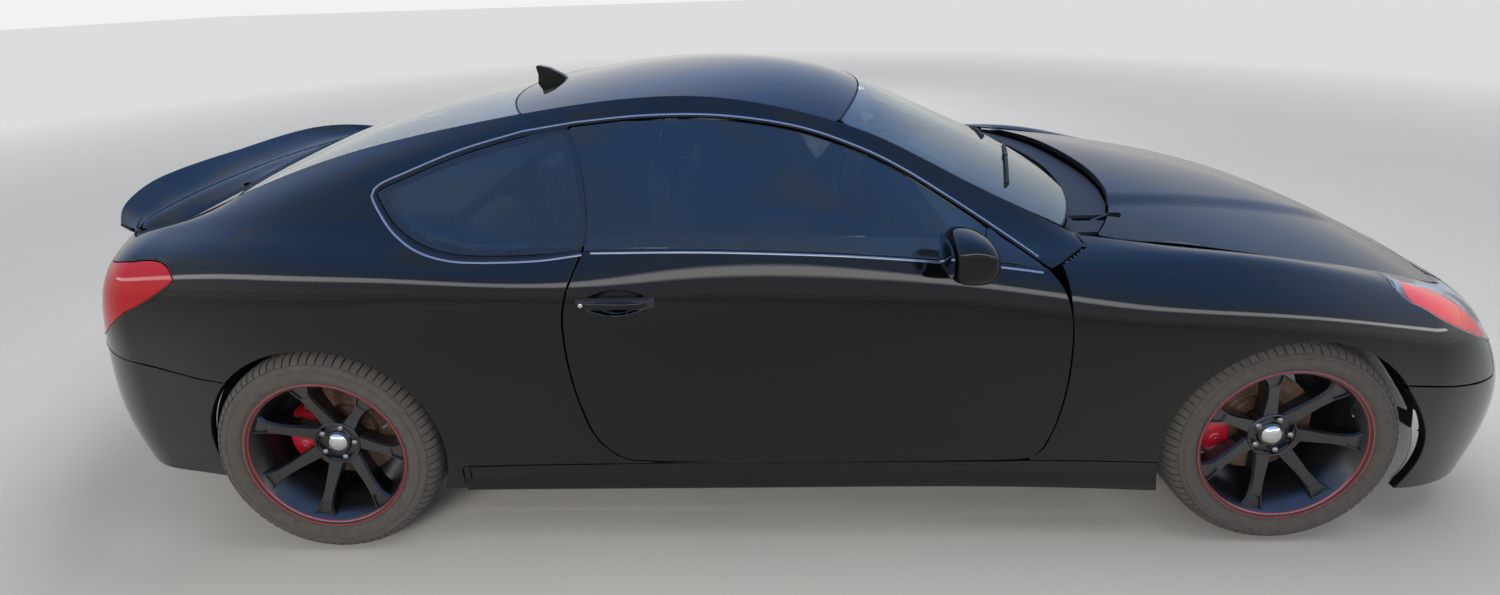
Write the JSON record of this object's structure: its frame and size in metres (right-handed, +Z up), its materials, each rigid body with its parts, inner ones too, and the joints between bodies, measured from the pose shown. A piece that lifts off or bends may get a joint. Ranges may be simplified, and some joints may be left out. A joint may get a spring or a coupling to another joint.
{
  "type": "coupe car",
  "caption": "Two-door fastback coupe with hinged doors, hood and trunk lid, steering front wheels and four spinning road wheels.",
  "frame": {"origin": "on the ground under the centre of the car's bounding box", "axes": "+X forward, +Y to the car's left, +Z up"},
  "size_m": [4.6329, 2.024, 1.3851],
  "materials": {
    "black_paint": "gloss",
    "glass": "gloss",
    "black_plastic": "matte",
    "clear_lens": "gloss",
    "red_lens": "gloss",
    "underbody": "matte",
    "cast_metal": "matte",
    "disc_iron": "matte",
    "red_caliper": "gloss",
    "tyre": "matte",
    "rim_black": "satin",
    "upholstery": "matte",
    "exhaust_steel": "satin"
  },
  "bodies": {
    "body": {"body_side_right": "black_paint", "body_side_left": "black_paint", "fender_right": "black_paint", "fender_left": "black_paint", "quarter_glass": "glass", "sills": "black_plastic", "roof_panel": "black_paint", "windshield": "glass", "rear_window": "glass", "cowl": "black_plastic", "front_bumper": "black_paint", "rear_bumper": "black_paint", "head_lamps": "clear_lens", "tail_lamps": "red_lens", "floor_pan": "underbody", "front_frame": "underbody", "rear_frame": "underbody", "engine_block": "cast_metal", "front_seats": "upholstery", "rear_seat": "upholstery", "dashboard": "black_plastic", "exhaust": "exhaust_steel", "wheel_liners": "black_plastic", "rear_calipers": "red_caliper", "hinge_pillars": "underbody", "grille": "black_plastic", "rear_shelf": "black_plastic"},
    "hood": {"hood": "black_paint"},
    "trunk_lid": {"trunk_lid": "black_paint"},
    "steering_wheel": {"steering_wheel": "black_plastic"},
    "door_right": {"door_right": "black_paint", "door_glass_right": "glass", "mirror_right": "black_plastic"},
    "knuckle_right": {"knuckle_right": "cast_metal", "front_caliper_right": "red_caliper"},
    "door_left": {"door_left": "black_paint", "door_glass_left": "glass", "mirror_left": "black_plastic"},
    "knuckle_left": {"knuckle_left": "cast_metal", "front_caliper_left": "red_caliper"},
    "wheel_front_left": {"tyre_front_left": "tyre", "rim_front_left": "rim_black", "brake_disc_front_left": "disc_iron"},
    "wheel_front_right": {"tyre_front_right": "tyre", "rim_front_right": "rim_black", "brake_disc_front_right": "disc_iron"},
    "wheel_rear_left": {"tyre_rear_left": "tyre", "rim_rear_left": "rim_black", "brake_disc_rear_left": "disc_iron"},
    "wheel_rear_right": {"tyre_rear_right": "tyre", "rim_rear_right": "rim_black", "brake_disc_rear_right": "disc_iron"}
  },
  "joints": [
    {"name": "door_right_hinge", "type": "hinge", "parent": "body", "child": "door_right", "pos_m": [0.76, -0.89, 0.55], "axis": [0, 0, 1], "range_deg": [0, 65]},
    {"name": "door_left_hinge", "type": "hinge", "parent": "body", "child": "door_left", "pos_m": [0.76, 0.89, 0.55], "axis": [0, 0, -1], "range_deg": [0, 65]},
    {"name": "hood_hinge", "type": "hinge", "parent": "body", "child": "hood", "pos_m": [1.012, 0, 0.862], "axis": [0, -1, 0], "range_deg": [0, 50]},
    {"name": "trunk_hinge", "type": "hinge", "parent": "body", "child": "trunk_lid", "pos_m": [-1.757, 0, 1.062], "axis": [0, 1, 0], "range_deg": [0, 70]},
    {"name": "steer_left", "type": "hinge", "parent": "body", "child": "knuckle_left", "pos_m": [1.465, 0.74, 0.33], "axis": [0, 0, 1], "range_deg": [-35, 35]},
    {"name": "steer_right", "type": "hinge", "parent": "body", "child": "knuckle_right", "pos_m": [1.465, -0.74, 0.33], "axis": [0, 0, 1], "range_deg": [-35, 35]},
    {"name": "steering_wheel_turn", "type": "hinge", "parent": "body", "child": "steering_wheel", "pos_m": [0.44, 0.37, 0.8], "axis": [-0.9063, 0, 0.4226], "range_deg": [-455, 455]},
    {"name": "wheel_front_left_spin", "type": "hinge", "parent": "knuckle_left", "child": "wheel_front_left", "pos_m": [1.465, 0.8, 0.33], "axis": [0, 1, 0], "continuous": true},
    {"name": "wheel_front_right_spin", "type": "hinge", "parent": "knuckle_right", "child": "wheel_front_right", "pos_m": [1.465, -0.8, 0.33], "axis": [0, 1, 0], "continuous": true},
    {"name": "wheel_rear_left_spin", "type": "hinge", "parent": "body", "child": "wheel_rear_left", "pos_m": [-1.355, 0.806, 0.339], "axis": [0, 1, 0], "continuous": true},
    {"name": "wheel_rear_right_spin", "type": "hinge", "parent": "body", "child": "wheel_rear_right", "pos_m": [-1.355, -0.806, 0.339], "axis": [0, 1, 0], "continuous": true}
  ],
  "couplings": [
    {"joint": "steer_right", "follows": "steer_left", "ratio": 1},
    {"joint": "steering_wheel_turn", "follows": "steer_left", "ratio": 13}
  ]
}
